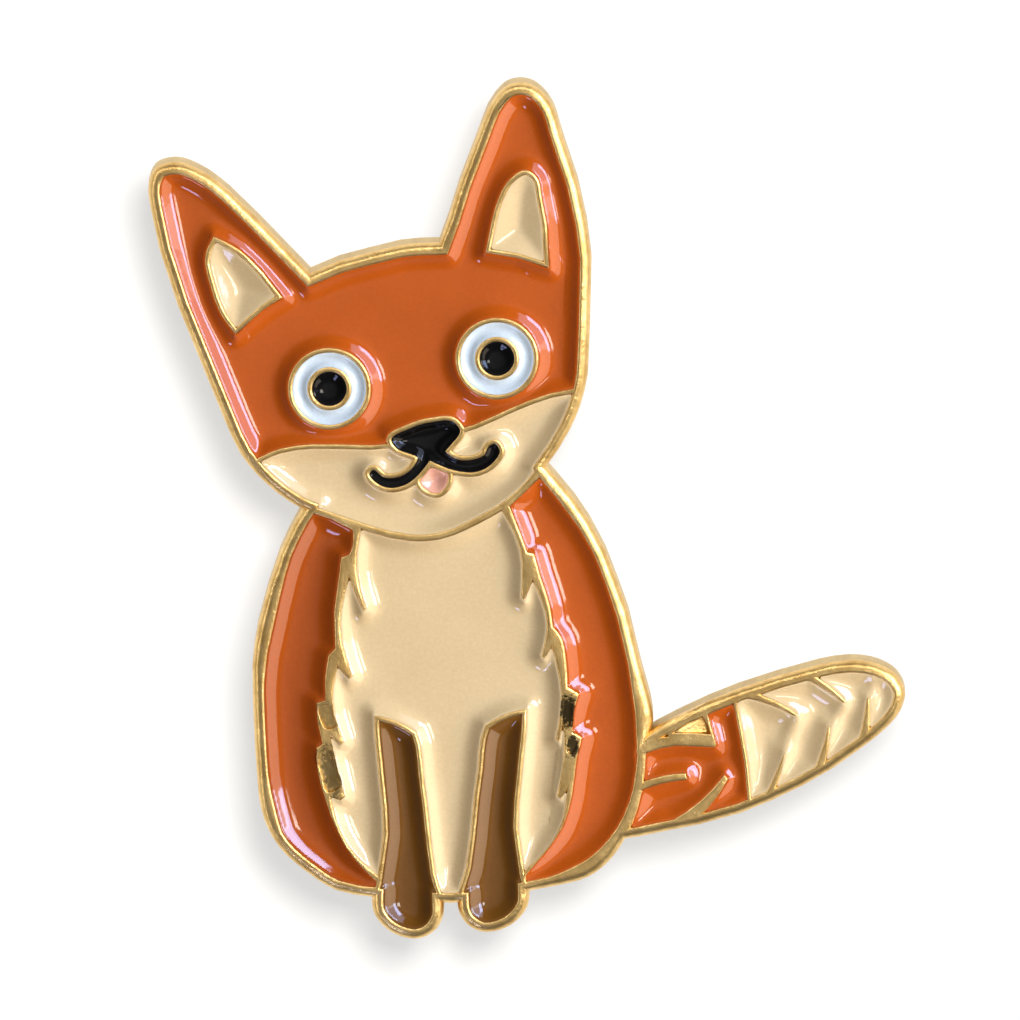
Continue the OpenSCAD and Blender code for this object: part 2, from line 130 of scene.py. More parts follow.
def newMaterial(name, group, groupValues, shader, stretch=None):
    material = bpy.data.materials.new(name)
    material.use_nodes = True
    tree = material.node_tree
    bsdf = tree.nodes["Principled BSDF"]
    for key, value in shader.items():
        bsdf.inputs[key].default_value = value
    coords = tree.nodes.new("ShaderNodeTexCoord")
    effect = tree.nodes.new("ShaderNodeGroup")
    effect.node_tree = group
    place = coords.outputs["Object"]
    if stretch:
        mapping = addNode(tree, "ShaderNodeMapping", Scale=stretch)
        tree.links.new(place, mapping.inputs["Vector"])
        place = mapping.outputs["Vector"]
    tree.links.new(place, effect.inputs["Place"])
    for key, value in groupValues.items():
        effect.inputs[key].default_value = value
    for label, target in (("Colour", "Base Color"), ("Roughness", "Roughness"), ("Normal", "Normal")):
        tree.links.new(effect.outputs[label], bsdf.inputs[target])
    return material


# Gold plating: fine grain, brighter and duller patches, a little tarnish, and painted shade in the hollows,
# where their shade and dark reflection are painted into the colour
metalTexture = {
    "patches": 1300,         # how many to a metre, also below
    "patchFrom": 0.35,
    "patchTo": 0.7,
    "grain": 5200,
    "grainHeight": 0.03 * mm,
    "dents": 1500,
    "dentHeight": 0.06 * mm,
    "dentStrength": 0.3,
    # painted shade: the colour painted over the hollows
    "dark": (0.04, 0.028, 0.014, 1),
}
# painted shade over the hollows: dark spots painted where their shade and dark reflection fall, with ragged
# edges
spotEdge = {"ragged": 2.2, "start": 1.75, "end": 2.1}    # in half widths of a spot
hollowShadeSpots = (
    # place on the face, half width, half length, turn in degrees, how dark
    (-8.9, -8.95, 0.5, 1.0, 18, 0.3),
    (-8.66, -11.6, 0.5, 1.25, 14, 0.62),
    (1.79, -8.95, 0.4, 0.9, 4, 0.96),
    (2.02, -10.5, 0.36, 0.6, 4, 0.9),
)


# painted shade: darkens the gold over each hollow, standing in for its shade and dark reflection
def addHollowShade(group, place, ragged):
    deepestShade = None
    for x, y, wide, high, turn, depth in hollowShadeSpots:
        mapping = addNode(group, "ShaderNodeMapping", vector_type="TEXTURE")
        mapping.inputs["Location"].default_value = (x * mm, y * mm, levels["face"])
        mapping.inputs["Rotation"].default_value = (0, 0, math.radians(turn))
        mapping.inputs["Scale"].default_value = (wide * mm, high * mm, mm)
        away = addNode(group, "ShaderNodeVectorMath", operation="LENGTH")
        uneven = addNode(group, "ShaderNodeMath", operation="MULTIPLY_ADD")
        uneven.inputs[1].default_value = spotEdge["ragged"]
        spot = addNode(
            group, "ShaderNodeMapRange", interpolation_type="SMOOTHSTEP", From_Min=spotEdge["start"],
            From_Max=spotEdge["end"], To_Min=depth, To_Max=0)
        group.links.new(place, mapping.inputs["Vector"])
        group.links.new(mapping.outputs["Vector"], away.inputs[0])
        group.links.new(ragged, uneven.inputs[0])
        group.links.new(away.outputs["Value"], uneven.inputs[2])
        group.links.new(uneven.outputs[0], spot.inputs["Value"])
        if deepestShade is None:
            deepestShade = spot.outputs["Result"]
            continue
        both = addNode(group, "ShaderNodeMath", operation="MAXIMUM")
        group.links.new(deepestShade, both.inputs[0])
        group.links.new(spot.outputs["Result"], both.inputs[1])
        deepestShade = both.outputs[0]
    return deepestShade


def buildMetalSurface():
    group, start, end = newGroup(
        "metalSurface",
        [("Place", "Vector", (0, 0, 0)), ("Metal", "Color", (1, 1, 1, 1)), ("Tarnish", "Color", (1, 1, 1, 1)),
         ("Tarnish Amount", "Float", 0.3), ("Smooth", "Float", 0.2), ("Dull", "Float", 0.4),
         ("Grain", "Float", 0.2)],
        [("Colour", "Color"), ("Roughness", "Float"), ("Normal", "Vector")])
    link = group.links.new
    patches = addNode(group, "ShaderNodeTexNoise", Scale=metalTexture["patches"], Detail=4, Roughness=0.65)
    grain = addNode(group, "ShaderNodeTexNoise", Scale=metalTexture["grain"], Detail=3, Roughness=0.65)
    dents = addNode(group, "ShaderNodeTexNoise", Scale=metalTexture["dents"], Detail=1, Roughness=0.4)
    for texture in (patches, grain, dents):
        link(start.outputs["Place"], texture.inputs["Vector"])
    patchRamp = addNode(
        group, "ShaderNodeMapRange", From_Min=metalTexture["patchFrom"], From_Max=metalTexture["patchTo"])
    link(patches.outputs["Fac"], patchRamp.inputs["Value"])
    amount = addNode(group, "ShaderNodeMath", operation="MULTIPLY")
    link(patchRamp.outputs["Result"], amount.inputs[0])
    link(start.outputs["Tarnish Amount"], amount.inputs[1])
    tint = addNode(group, "ShaderNodeMix", data_type="RGBA")
    link(amount.outputs[0], tint.inputs["Factor"])
    link(start.outputs["Metal"], tint.inputs["A"])
    link(start.outputs["Tarnish"], tint.inputs["B"])
    # the hollows' shade is painted in: the colour is mixed towards dark over them
    spots = addHollowShade(group, start.outputs["Place"], grain.outputs["Fac"])
    hollowShaded = addNode(group, "ShaderNodeMix", data_type="RGBA")
    link(spots, hollowShaded.inputs["Factor"])
    link(tint.outputs["Result"], hollowShaded.inputs["A"])
    hollowShaded.inputs["B"].default_value = metalTexture["dark"]
    link(hollowShaded.outputs["Result"], end.inputs["Colour"])
    rough = addNode(group, "ShaderNodeMapRange")
    link(grain.outputs["Fac"], rough.inputs["Value"])
    link(start.outputs["Smooth"], rough.inputs["To Min"])
    link(start.outputs["Dull"], rough.inputs["To Max"])
    link(rough.outputs["Result"], end.inputs["Roughness"])
    waves = addNode(
        group, "ShaderNodeBump", Distance=metalTexture["dentHeight"], Strength=metalTexture["dentStrength"])
    link(dents.outputs["Fac"], waves.inputs["Height"])
    bump = addNode(group, "ShaderNodeBump", Distance=metalTexture["grainHeight"])
    link(grain.outputs["Fac"], bump.inputs["Height"])
    link(start.outputs["Grain"], bump.inputs["Strength"])
    link(waves.outputs["Normal"], bump.inputs["Normal"])
    link(bump.outputs["Normal"], end.inputs["Normal"])
    return group


# Poured enamel: pigment clouds, specks and the slow waves of its surface
enamelTexture = {
    "clouds": 260,           # how many to a metre, also below
    "cloudFrom": 0.3,
    "cloudTo": 0.7,
    "specks": 6500,
    "speckDark": 0.86,
    "speckLight": 1.14,
    "waves": 900,
    "waveHeight": 0.1 * mm,
}


def buildEnamelSurface():
    group, start, end = newGroup(
        "enamelSurface",
        [("Place", "Vector", (0, 0, 0)), ("Main", "Color", (1, 1, 1, 1)), ("Cloud", "Color", (1, 1, 1, 1)),
         ("Specks", "Float", 0.1), ("Gloss", "Float", 0.1), ("Haze", "Float", 0.2), ("Waves", "Float", 0.2)],
        [("Colour", "Color"), ("Roughness", "Float"), ("Normal", "Vector")])
    link = group.links.new
    clouds = addNode(group, "ShaderNodeTexNoise", Scale=enamelTexture["clouds"], Detail=3, Roughness=0.55)
    specks = addNode(group, "ShaderNodeTexNoise", Scale=enamelTexture["specks"], Detail=2, Roughness=0.7)
    waves = addNode(group, "ShaderNodeTexNoise", Scale=enamelTexture["waves"], Detail=2, Roughness=0.5)
    for texture in (clouds, specks, waves):
        link(start.outputs["Place"], texture.inputs["Vector"])
    cloudRamp = addNode(
        group, "ShaderNodeMapRange", From_Min=enamelTexture["cloudFrom"], From_Max=enamelTexture["cloudTo"])
    link(clouds.outputs["Fac"], cloudRamp.inputs["Value"])
    tint = addNode(group, "ShaderNodeMix", data_type="RGBA")
    link(cloudRamp.outputs["Result"], tint.inputs["Factor"])
    link(start.outputs["Main"], tint.inputs["A"])
    link(start.outputs["Cloud"], tint.inputs["B"])
    grey = addNode(
        group, "ShaderNodeMapRange", To_Min=enamelTexture["speckDark"], To_Max=enamelTexture["speckLight"])
    link(specks.outputs["Fac"], grey.inputs["Value"])
    speckled = addNode(group, "ShaderNodeMix", data_type="RGBA", blend_type="MULTIPLY")
    link(start.outputs["Specks"], speckled.inputs["Factor"])
    link(tint.outputs["Result"], speckled.inputs["A"])
    link(grey.outputs["Result"], speckled.inputs["B"])
    link(speckled.outputs["Result"], end.inputs["Colour"])
    rough = addNode(group, "ShaderNodeMapRange")
    link(clouds.outputs["Fac"], rough.inputs["Value"])
    link(start.outputs["Gloss"], rough.inputs["To Min"])
    link(start.outputs["Haze"], rough.inputs["To Max"])
    link(rough.outputs["Result"], end.inputs["Roughness"])
    bump = addNode(group, "ShaderNodeBump", Distance=enamelTexture["waveHeight"])
    link(waves.outputs["Fac"], bump.inputs["Height"])
    link(start.outputs["Waves"], bump.inputs["Strength"])
    link(bump.outputs["Normal"], end.inputs["Normal"])
    return group


# Moulded rubber: a fine grain with dust in it
rubberTexture = {"dust": 900, "grain": 7000, "grainHeight": 0.02 * mm, "smooth": 0.5, "dull": 0.75}


def buildRubberSurface():
    group, start, end = newGroup(
        "rubberSurface",
        [("Place", "Vector", (0, 0, 0)), ("Rubber", "Color", (0.02, 0.02, 0.02, 1)),
         ("Dust", "Color", (0.12, 0.12, 0.12, 1)), ("Dust Amount", "Float", 0.2), ("Grain", "Float", 0.2)],
        [("Colour", "Color"), ("Roughness", "Float"), ("Normal", "Vector")])
    link = group.links.new
    dust = addNode(group, "ShaderNodeTexNoise", Scale=rubberTexture["dust"], Detail=5, Roughness=0.7)
    grain = addNode(group, "ShaderNodeTexNoise", Scale=rubberTexture["grain"], Detail=2, Roughness=0.6)
    for texture in (dust, grain):
        link(start.outputs["Place"], texture.inputs["Vector"])
    amount = addNode(group, "ShaderNodeMath", operation="MULTIPLY")
    link(dust.outputs["Fac"], amount.inputs[0])
    link(start.outputs["Dust Amount"], amount.inputs[1])
    tint = addNode(group, "ShaderNodeMix", data_type="RGBA")
    link(amount.outputs[0], tint.inputs["Factor"])
    link(start.outputs["Rubber"], tint.inputs["A"])
    link(start.outputs["Dust"], tint.inputs["B"])
    link(tint.outputs["Result"], end.inputs["Colour"])
    rough = addNode(
        group, "ShaderNodeMapRange", To_Min=rubberTexture["smooth"], To_Max=rubberTexture["dull"])
    link(dust.outputs["Fac"], rough.inputs["Value"])
    link(rough.outputs["Result"], end.inputs["Roughness"])
    bump = addNode(group, "ShaderNodeBump", Distance=rubberTexture["grainHeight"])
    link(grain.outputs["Fac"], bump.inputs["Height"])
    link(start.outputs["Grain"], bump.inputs["Strength"])
    link(bump.outputs["Normal"], end.inputs["Normal"])
    return group


metalSurface = buildMetalSurface()
rubberSurface = buildRubberSurface()
enamelSurface = buildEnamelSurface()

goldPlating = newMaterial(
    "goldPlating", metalSurface,
    {"Metal": (0.92, 0.63, 0.25, 1), "Tarnish": (0.58, 0.33, 0.09, 1), "Tarnish Amount": 0.75,
     "Smooth": 0.24, "Dull": 0.4, "Grain": 0.7},
    {"Metallic": 1.0})

cutMarks = (1, 1, 0.12)      # the outer wall's grain is drawn out along its height
# the outer wall's gold is a darker, duller copy of the face's gold: painted shade
shadedGoldSide = newMaterial(
    "shadedGoldSide", metalSurface,
    {"Metal": (0.68, 0.5, 0.22, 1), "Tarnish": (0.52, 0.36, 0.15, 1), "Tarnish Amount": 0.7,
     "Smooth": 0.4, "Dull": 0.55, "Grain": 0.8},
    {"Metallic": 1.0}, cutMarks)

goldBack = newMaterial(
    "goldBack", metalSurface,
    {"Metal": (0.9, 0.62, 0.24, 1), "Tarnish": (0.7, 0.42, 0.13, 1), "Tarnish Amount": 0.7,
     "Smooth": 0.34, "Dull": 0.5, "Grain": 0.7},
    {"Metallic": 1.0})

blackRubber = newMaterial(
    "blackRubber", rubberSurface,
    {"Rubber": (0.018, 0.018, 0.019, 1), "Dust": (0.1, 0.1, 0.1, 1), "Dust Amount": 0.35, "Grain": 0.4},
    {"IOR": 1.5})

enamelColours = {
    "orangeEnamel": {"Main": (0.49, 0.084, 0.004, 1), "Cloud": (0.44, 0.075, 0.003, 1)},
    # a darker copy of the orange for the left flank: painted shade
    "shadedOrangeEnamel": {"Main": (0.36, 0.062, 0.002, 1), "Cloud": (0.33, 0.056, 0.002, 1)},
    "creamEnamel": {"Main": (0.69, 0.5, 0.245, 1), "Cloud": (0.65, 0.465, 0.22, 1)},
    "brownEnamel": {"Main": (0.165, 0.062, 0.006, 1), "Cloud": (0.135, 0.048, 0.004, 1)},
    "whiteEnamel": {"Main": (0.6, 0.66, 0.64, 1), "Cloud": (0.55, 0.61, 0.6, 1)},
    "blackEnamel": {"Main": (0.004, 0.0035, 0.003, 1), "Cloud": (0.003, 0.0025, 0.0025, 1)},
    "pinkEnamel": {"Main": (0.76, 0.37, 0.235, 1), "Cloud": (0.7, 0.32, 0.2, 1)},
}
enamel = {}
for name, colours in enamelColours.items():
    black = name == "blackEnamel"          # duller and wavier than the others
    enamel[name] = newMaterial(
        name, enamelSurface,
        {**colours, "Specks": 0.8, "Gloss": 0.05, "Haze": 0.1, "Waves": 0.6 if black else 0.1},
        {"IOR": 1.5, "Specular IOR Level": 0.22 if black else 0.5})
print("materials made")

# The gold plate: rounded rim, softly rounded lines, filleted posts
plateShape = {
    "rimRound": 0.4 * mm,
    "lineRound": 0.12 * mm,
    "hollowRound": 0.05 * mm,
    "backRound": 0.12 * mm,
    "postFillet": 0.2 * mm,
    "thinShare": 0.45,            # of a thin line's width, the most that one side is rounded
    "tailStart": 5 * mm,          # the bare hollows beside the chest are left of it
    "rayDepth": 0.1 * mm,         # how far under its top a line's width is measured
    "rayLength": 2 * mm,
    "mostChange": 0.15 * mm,      # of the width from one edge to the next, at a right angle
    "mostTurn": math.radians(50),
    "rounds": 40,                 # how often the widths are evened
    "steps": 4,
}


def wallTree(mesh):
    # the upright faces of a mesh, for finding the nearest wall
    corners = [v.co.copy() for v in mesh.verts]
    walls = [f for f in mesh.faces if abs(f.normal.z) < upright
             and max(v.co.z for v in f.verts) > min(v.co.z for v in f.verts)]
    return BVHTree.FromPolygons(corners, [[v.index for v in f.verts] for f in walls])


def edgeRound(edge, walls):
    # how round an edge of the plate is, by its height and by the wall that meets it
    if len(edge.link_faces) != 2:
        return 0
    first, second = edge.link_faces
    if abs(first.normal.z) < abs(second.normal.z):
        first, second = second, first
    if abs(first.normal.z) < lying or abs(second.normal.z) > upright:
        return 0
    height = (edge.verts[0].co.z + edge.verts[1].co.z) / 2
    wallLow = min(v.co.z for v in second.verts)
    if abs(height - levels["face"]) < slack:
        if wallLow < levels["pocket"] - slack:
            return plateShape["rimRound"]
        middle = (edge.verts[0].co + edge.verts[1].co) / 2
        if wallLow > levels["pocket"] + slack and middle.x < plateShape["tailStart"]:
            return plateShape["hollowRound"]
        middle.z = levels["face"] - plateShape["rayDepth"]
        inward = -second.normal
        _, _, _, across = walls.ray_cast(middle + inward * seam, inward, plateShape["rayLength"])
        return min(plateShape["lineRound"], (across or mm) * plateShape["thinShare"])
    if abs(height - levels["back"]) < slack:
        return plateShape["postFillet"] if wallLow < levels["back"] - slack else plateShape["backRound"]
    return 0


def evenRounds(mesh, weights):
    # the rounding changes slowly along a line, or a thorn grows where two widths meet
    pairs = []
    for corner in mesh.verts:
        rounded = [e for e in corner.link_edges if weights[e.index] > 0]
        if len(rounded) == 2:
            first, second = (e.other_vert(corner).co - corner.co for e in rounded)
            turn = math.pi - first.angle(second)
            if turn < plateShape["mostTurn"]:
                most = plateShape["mostChange"] * math.sin(turn) / plateShape["rimRound"]
                pairs.append((rounded[0].index, rounded[1].index, most))
    pairs += [(other, one, most) for one, other, most in pairs]
    for _ in range(plateShape["rounds"]):
        for one, other, most in pairs:
            weights[one] = min(weights[one], weights[other] + most)


def splitRim(rim, ends, points, edges, edgeOrigins):
    # where two rims cross, their edges are split at the crossing, so that the seams close
    crossings = [set() for _ in rim]
    for edge, found in zip(edges, edgeOrigins):
        for k in found:
            crossings[k].update(edge)
    for edge, spots, known in zip(rim, crossings, ends):
        start, end = edge.verts
        origin, whole = start.co.xy / mm, edge.calc_length() / mm
        for share, _ in sorted(((points[i] - origin).length / whole, i) for i in spots - set(known)):
            done = (start.co.xy / mm - origin).length / whole
            _, start = bmesh.utils.edge_split(edge, start, (share - done) / (1 - done))
            edge = next(e for e in start.link_edges if end in e.verts)


def windings(points, edges, faces, edgeOrigins, ways):
    # how often the rims run round each triangle, counted from the outside in
    flow = {}
    for (i, j), found in zip(edges, edgeOrigins):
        along = points[j] - points[i]
        turns = sum(1 if along.dot(points[ways[k][1]] - points[ways[k][0]]) > 0 else -1 for k in found)
        flow[i, j], flow[j, i] = turns, -turns
    owner = {(face[n - 1], face[n]): f for f, face in enumerate(faces) for n in range(3)}
    wound = {owner[i, j]: flow[i, j] for i, j in owner if (j, i) not in owner}
    queue = list(wound)
    for f in queue:
        for i, j in ((faces[f][n - 1], faces[f][n]) for n in range(3)):
            other = owner.get((j, i))
            if other is not None and other not in wound:
                wound[other] = wound[f] - flow[i, j]
                queue.append(other)
    return wound


def refill(piece, height, side):
    # the flat that rounding leaves is cut into clean triangles, with its holes kept open:
    # its rims run round the flat, and what they wind round is filled
    mesh = bmesh.new()
    mesh.from_mesh(piece.data)
    flat = [f for f in mesh.faces if f.normal.z * side > lying
            and all(abs(v.co.z - height) < seam for v in f.verts)]
    bmesh.ops.delete(mesh, geom=flat, context="FACES")
    rim = [e for e in mesh.edges if len(e.link_faces) == 1
           and all(abs(v.co.z - height) < seam for v in e.verts)]
    corners = list({v: None for e in rim for v in e.verts})
    place = {v: i for i, v in enumerate(corners)}
    ways = []
    for edge in rim:
        loop = edge.link_loops[0]
        ends = (place[loop.link_loop_next.vert], place[loop.vert])
        ways.append(ends if side > 0 else ends[::-1])
    points, edges, faces, origins, edgeOrigins, _ = delaunay_2d_cdt(
        [v.co.xy / mm for v in corners], ways, [], 0, 1e-6)
    newPlace = {old: new for new, found in enumerate(origins) for old in found}
    ways = [(newPlace[start], newPlace[end]) for start, end in ways]
    wound = windings(points, edges, faces, edgeOrigins, ways)
    splitRim(rim, ways, points, edges, edgeOrigins)
    made = [corners[found[0]] if found else mesh.verts.new((p.x * mm, p.y * mm, height))
            for p, found in zip(points, origins)]
    for f, turns in wound.items():
        if turns:
            mesh.faces.new([made[i] for i in (faces[f] if turns * side > 0 else faces[f][::-1])])
    bmesh.ops.remove_doubles(mesh, verts=mesh.verts, dist=seam)
    mesh.to_mesh(piece.data)
    mesh.free()


tailHollow = {
    "low": (6.2 * mm, -10.1 * mm),
    "high": (8.4 * mm, -8.7 * mm),
    "depth": 0.25 * mm,      # below the face, before it is sloped
    "left": 0.22 * mm,       # how far its left end rises
    "right": 0.2 * mm,       # how far its right end falls
}


def slopeTailHollow(piece):
    # the floor of the hollow on the tail falls to the right, so it catches the light
    floorLevel = levels["face"] - tailHollow["depth"]
    (x0, y0), (x1, y1) = tailHollow["low"], tailHollow["high"]
    spots = [v for v in piece.data.vertices
             if abs(v.co.z - floorLevel) < slack and x0 < v.co.x < x1 and y0 < v.co.y < y1]
    left, right = min(v.co.x for v in spots), max(v.co.x for v in spots)
    for v in spots:
        share = (v.co.x - left) / (right - left)
        v.co.z += tailHollow["left"] * (1 - share) - tailHollow["right"] * share


def makePlate():
    piece = mergedCopy("plate", "goldPlate")
    mesh = bmesh.new()
    mesh.from_mesh(piece.data)
    widest = plateShape["rimRound"]
    walls = wallTree(mesh)
    weights = [edgeRound(edge, walls) / widest for edge in mesh.edges]
    evenRounds(mesh, weights)
    mesh.free()
    attribute = piece.data.attributes.new("bevel_weight_edge", "FLOAT", "EDGE")
    attribute.data.foreach_set("value", weights)
    applyModifier(
        piece, "BEVEL", "roundedEdges", limit_method="WEIGHT", width=widest,
        segments=plateShape["steps"], use_clamp_overlap=False)
    refill(piece, levels["face"], 1)
    refill(piece, levels["back"], -1)
    slopeTailHollow(piece)
    onlySelect(piece)
    bpy.ops.object.shade_smooth_by_angle(angle=math.radians(35))
    applyModifier(piece, "WEIGHTED_NORMAL", "evenShading", keep_sharp=True)
    print("gold plate", len(piece.data.polygons), "faces")
    finishPiece(piece, goldPlating, "gold_plate", "plate")
    piece.data.materials.append(goldBack)
    # the outer wall gets the gold with painted shade
    piece.data.materials.append(shadedGoldSide)
    backIndex, sideIndex = 1, 2
    for face in piece.data.polygons:
        if face.normal.z < -lying and abs(face.center.z - levels["back"]) < slack:
            face.material_index = backIndex
        elif abs(face.normal.z) < upright and levels["back"] < face.center.z < levels["pocket"]:
            face.material_index = sideIndex
    return piece


goldPlate = makePlate()

# The enamel: each pocket is filled low in the middle and climbs its walls
enamelShape = {
    "voxel": 0.08 * mm,
    "tuck": 0.05 * mm,       # how far it is widened, over the gap and a little into the pocket's walls
    "low": 0.44 * mm,        # below the lines in the middle of a wide pocket
    "high": 0.05 * mm,       # below the lines at the wall
    "reach": 0.5 * mm,       # how far the climb reaches into the pocket
    "bend": 0.1 * mm,        # how tightly it turns into the flat
    "bowl": 0.12,            # share of a wider, shallower climb
    "bowlReach": 1.2 * mm,
    "keptEdge": 0.8,         # in voxels: nearer to the wall nothing is smoothed
    "rounds": 5,             # how often the rest is smoothed
    "ridges": (),
    "ridgeBase": 0.5,        # share of the climb that a ridge keeps
}


def wallDistances(walls, pool, points):
    # distance of each point to the nearest wall, counted negative outside the pocket
    result = np.zeros(len(points))
    down = Vector((0, 0, -1))
    probe = levels["pocket"] + 0.1 * mm          # a little over the pocket's floor
    for i, (x, y) in enumerate(points):
        distance = walls.find_nearest(Vector((x, y, probe)))[3]
        inside = pool.ray_cast(Vector((x, y, levels["face"] + mm)), down)[0]
        result[i] = distance if inside else -distance
    return result


def addRidge(places, ridge):
    # a soft hump of enamel along a line
    x0, y0, x1, y1, wide, share = ridge
    start, along = np.array((x0, y0)), np.array((x1 - x0, y1 - y0))
    away = places[:, :2] / mm - start
    part = np.clip(away @ along / (along @ along), 0, 1)
    distance = np.linalg.norm(away - part[:, None] * along, axis=1)
    return share * np.exp(-(distance / wide) ** 2)


def dropSlivers(piece):
    # the narrow tip of a pocket can come out as a loose sliver, so only the largest part stays
    mesh = bmesh.new()
    mesh.from_mesh(piece.data)
    waiting, parts = set(mesh.verts), []
    while waiting:
        part = [waiting.pop()]
        for corner in part:
            others = {edge.other_vert(corner) for edge in corner.link_edges} & waiting
            waiting -= others
            part.extend(others)
        parts.append(part)
    parts.sort(key=len)
    loose = [corner for part in parts[:-1] for corner in part]
    bmesh.ops.delete(mesh, geom=loose, context="VERTS")
    mesh.to_mesh(piece.data)
    mesh.free()


def pourSurface(mesh, shape, walls, pool):
    # the top gets its height by the distance to the wall, the underside lies on the pocket's floor
    count = len(mesh.vertices)
    places = np.zeros(count * 3)
    mesh.vertices.foreach_get("co", places)
    places = places.reshape(-1, 3)
    ends = np.zeros(len(mesh.edges) * 2, dtype=np.int64)
    mesh.edges.foreach_get("vertices", ends)
    ends = ends.reshape(-1, 2)
    middle = (places[:, 2].min() + places[:, 2].max()) / 2
    top = places[:, 2] > middle
    distance = np.zeros(count)
    distance[top] = wallDistances(walls, pool, places[top, :2])
    inside = np.maximum(distance, 0)
    ahead = (shape["reach"] - inside) / shape["bend"]
    climb = np.log1p(np.exp(ahead)) * shape["bend"] / shape["reach"]
    climb += shape["bowl"] * np.exp(-inside / shape["bowlReach"])
    climb /= 1 + shape["bowl"]
    for ridge in shape["ridges"]:
        climb = np.maximum(climb, climb * shape["ridgeBase"] + addRidge(places, ridge))
    free = top & (distance > shape["keptEdge"] * shape["voxel"])
    pairs = ends[top[ends[:, 0]] & top[ends[:, 1]]]
    one, other = np.concatenate([pairs, pairs[:, ::-1]]).T
    neighbours = np.maximum(np.bincount(one, minlength=count), 1)
    for _ in range(shape["rounds"]):
        average = np.bincount(one, weights=climb[other], minlength=count) / neighbours
        climb[free] = average[free]
    height = levels["face"] - shape["low"] + (shape["low"] - shape["high"]) * climb
    places[top, 2] = height[top]
    places[~top, 2] = levels["pocket"]
    mesh.vertices.foreach_set("co", places.ravel())
    mesh.update()


def makeEnamel(node, name, material, slot, **changes):
    shape = {**enamelShape, **changes}
    piece = mergedCopy(node, name)
    mesh = bmesh.new()
    mesh.from_mesh(piece.data)
    walls = wallTree(mesh)
    pool = BVHTree.FromBMesh(mesh)
    mesh.free()
    bpy.ops.object.mode_set(mode="EDIT")
    bpy.ops.mesh.select_all(action="SELECT")
    bpy.ops.transform.shrink_fatten(value=shape["tuck"], use_even_offset=True)
    bpy.ops.object.mode_set(mode="OBJECT")
    applyModifier(piece, "REMESH", "poured", mode="VOXEL", voxel_size=shape["voxel"], adaptivity=0)
    dropSlivers(piece)
    pourSurface(piece.data, shape, walls, pool)
    onlySelect(piece)
    bpy.ops.object.shade_smooth_by_angle(angle=math.radians(50))
    print(name, len(piece.data.polygons), "faces")
    finishPiece(piece, enamel[material], slot, node)


enamelPieces = (
    # node, name, material, slot
    ("enamel_head", "headEnamel", "orangeEnamel", "orange_enamel"),
    ("enamel_muzzle", "muzzleEnamel", "creamEnamel", "cream_enamel"),
    ("ear_left", "earLeftEnamel", "creamEnamel", "cream_enamel"),
    ("ear_right", "earRightEnamel", "creamEnamel", "cream_enamel"),
    ("eye_white_left", "eyeWhiteLeft", "whiteEnamel", "white_enamel"),
    ("eye_white_right", "eyeWhiteRight", "whiteEnamel", "white_enamel"),
    ("pupil_left", "pupilLeft", "blackEnamel", "black_enamel"),
    ("pupil_right", "pupilRight", "blackEnamel", "black_enamel"),
    ("nose", "noseEnamel", "blackEnamel", "black_enamel"),
    ("tongue", "tongueEnamel", "pinkEnamel", "pink_enamel"),
    # the left flank's orange has painted shade
    ("flank_left", "flankLeftEnamel", "shadedOrangeEnamel", "orange_enamel"),
    ("flank_right", "flankRightEnamel", "orangeEnamel", "orange_enamel"),
    ("chest", "chestEnamel", "creamEnamel", "cream_enamel"),
    ("leg_left", "legLeftEnamel", "brownEnamel", "brown_enamel"),
    ("leg_right", "legRightEnamel", "brownEnamel", "brown_enamel"),
    ("tail_root", "tailRootEnamel", "orangeEnamel", "orange_enamel"),
    ("tail_tip", "tailTipEnamel", "creamEnamel", "cream_enamel"),
)
pocketShapes = {
    "ear_left": {"reach": 0.9 * mm},
    "ear_right": {"reach": 1.2 * mm, "low": 0.49 * mm, "bend": 0.16 * mm, "bowl": 0},
    "nose": {"reach": 0.32 * mm},
    "pupil_left": {"reach": 0.3 * mm, "low": 0.25 * mm},
    "pupil_right": {"reach": 0.3 * mm, "low": 0.25 * mm},
    "flank_left": {"reach": 0.6 * mm, "bend": 0.16 * mm},
    "flank_right": {"reach": 0.55 * mm, "bend": 0.14 * mm},
    "leg_left": {"reach": 0.5 * mm},
    "leg_right": {"reach": 0.5 * mm},
    "tail_root": {"reach": 0.6 * mm, "bowl": 0.3},
    # a ridge, in millimetres: x and y of its start, x and y of its end, half width, share of the depth
    "tail_tip": {"reach": 0.62 * mm, "bend": 0.14 * mm, "bowl": 0.3, "ridges": (
        (11.2, -11.6, 11.88, -9.14, 0.42, 0.62),
        (13.3, -10.2, 13.96, -8.46, 0.42, 0.6),
        (15.3, -8.9, 15.24, -7.3, 0.38, 0.55),
    )},
}
for row in enamelPieces:
    makeEnamel(*row, **pocketShapes.get(row[0], {}))
print("enamel poured")

# Rubber clutches on the posts: moulded, so every edge is soft
clutchShape = {"edgeRound": 0.16 * mm, "steps": 4}


def makeClutch(node, name):
    piece = mergedCopy(node, name)
    applyModifier(
        piece, "BEVEL", "softEdges", limit_method="ANGLE", angle_limit=math.radians(40),
        width=clutchShape["edgeRound"], segments=clutchShape["steps"])
    onlySelect(piece)
    bpy.ops.object.shade_smooth_by_angle(angle=math.radians(40))
    print(name, len(piece.data.polygons), "faces")
    finishPiece(piece, blackRubber, "black_rubber", node)


makeClutch("clutch_head", "clutchHead")
makeClutch("clutch_body", "clutchBody")

# The stage: a pale floor, soft light, the camera over the figure
floorLook = {
    "size": 3,
    "colour": (0.4, 0.395, 0.39, 1),
    "roughness": 0.9,
    "glow": (0.99, 1, 1, 1),
    "strength": 0.6,
}


